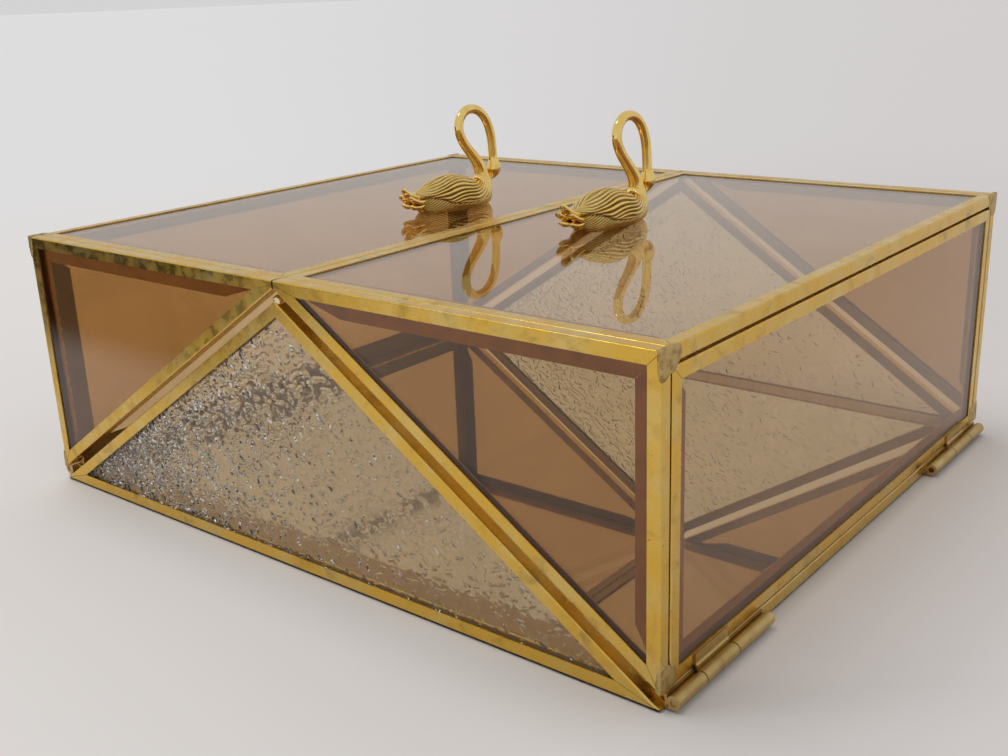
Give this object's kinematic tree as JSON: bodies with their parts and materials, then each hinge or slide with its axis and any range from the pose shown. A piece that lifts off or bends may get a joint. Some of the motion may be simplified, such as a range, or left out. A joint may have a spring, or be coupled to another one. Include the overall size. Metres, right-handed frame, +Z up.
{
  "type": "glass casket box",
  "caption": "Low rectangular glass keepsake box in brass came, with a mirror floor, fixed pebbled-glass triangles and two hinged butterfly lids with swan handles.",
  "frame": {"origin": "centre of the footprint on the standing surface, under the felt", "axes": "+X to the right along the width, across the two lids; +Y to the back, the way the swans face; +Z up"},
  "size_m": [0.2362, 0.2038, 0.1141],
  "materials": {
    "black_felt": "matt black felt",
    "silver_mirror": "silvered mirror glass",
    "pebbled_glass": "clear glass with a pebbled face",
    "smoked_glass": "smooth bronze-smoked glass",
    "tinned_solder": "dull tinned solder",
    "hinge_brass": "aged brass",
    "came_brass": "lacquered brass with mottled patina",
    "polished_gold_brass": "polished gold-plated casting"
  },
  "bodies": {
    "base": {"base_felt_pad": "black_felt", "floor_mirror": "silver_mirror", "floor_came": "came_brass", "front_fixed_glass": "pebbled_glass", "front_fixed_came": "came_brass", "back_fixed_glass": "pebbled_glass", "back_fixed_came": "came_brass", "apex_solder_beads": "tinned_solder", "left_hinge_base_knuckles": "hinge_brass", "left_hinge_pins": "hinge_brass", "right_hinge_base_knuckles": "hinge_brass", "right_hinge_pins": "hinge_brass"},
    "left_lid": {"left_top_glass": "smoked_glass", "left_top_came": "came_brass", "left_side_glass": "smoked_glass", "left_side_came": "came_brass", "left_front_glass": "smoked_glass", "left_front_came": "came_brass", "left_back_glass": "smoked_glass", "left_back_came": "came_brass", "left_corner_solder": "tinned_solder", "left_hinge_lid_knuckles": "hinge_brass", "left_swan_handle": "polished_gold_brass"},
    "right_lid": {"right_top_glass": "smoked_glass", "right_top_came": "came_brass", "right_side_glass": "smoked_glass", "right_side_came": "came_brass", "right_front_glass": "smoked_glass", "right_front_came": "came_brass", "right_back_glass": "smoked_glass", "right_back_came": "came_brass", "right_corner_solder": "tinned_solder", "right_hinge_lid_knuckles": "hinge_brass", "right_swan_handle": "polished_gold_brass"}
  },
  "joints": [
    {"name": "left_lid_hinge", "type": "hinge", "parent": "base", "child": "left_lid", "pos_m": [-0.1164, 0, 0.0024], "axis": [0, -1, 0], "range_deg": [0, 93]},
    {"name": "right_lid_hinge", "type": "hinge", "parent": "base", "child": "right_lid", "pos_m": [0.1164, 0, 0.0024], "axis": [0, 1, 0], "range_deg": [0, 93]}
  ]
}
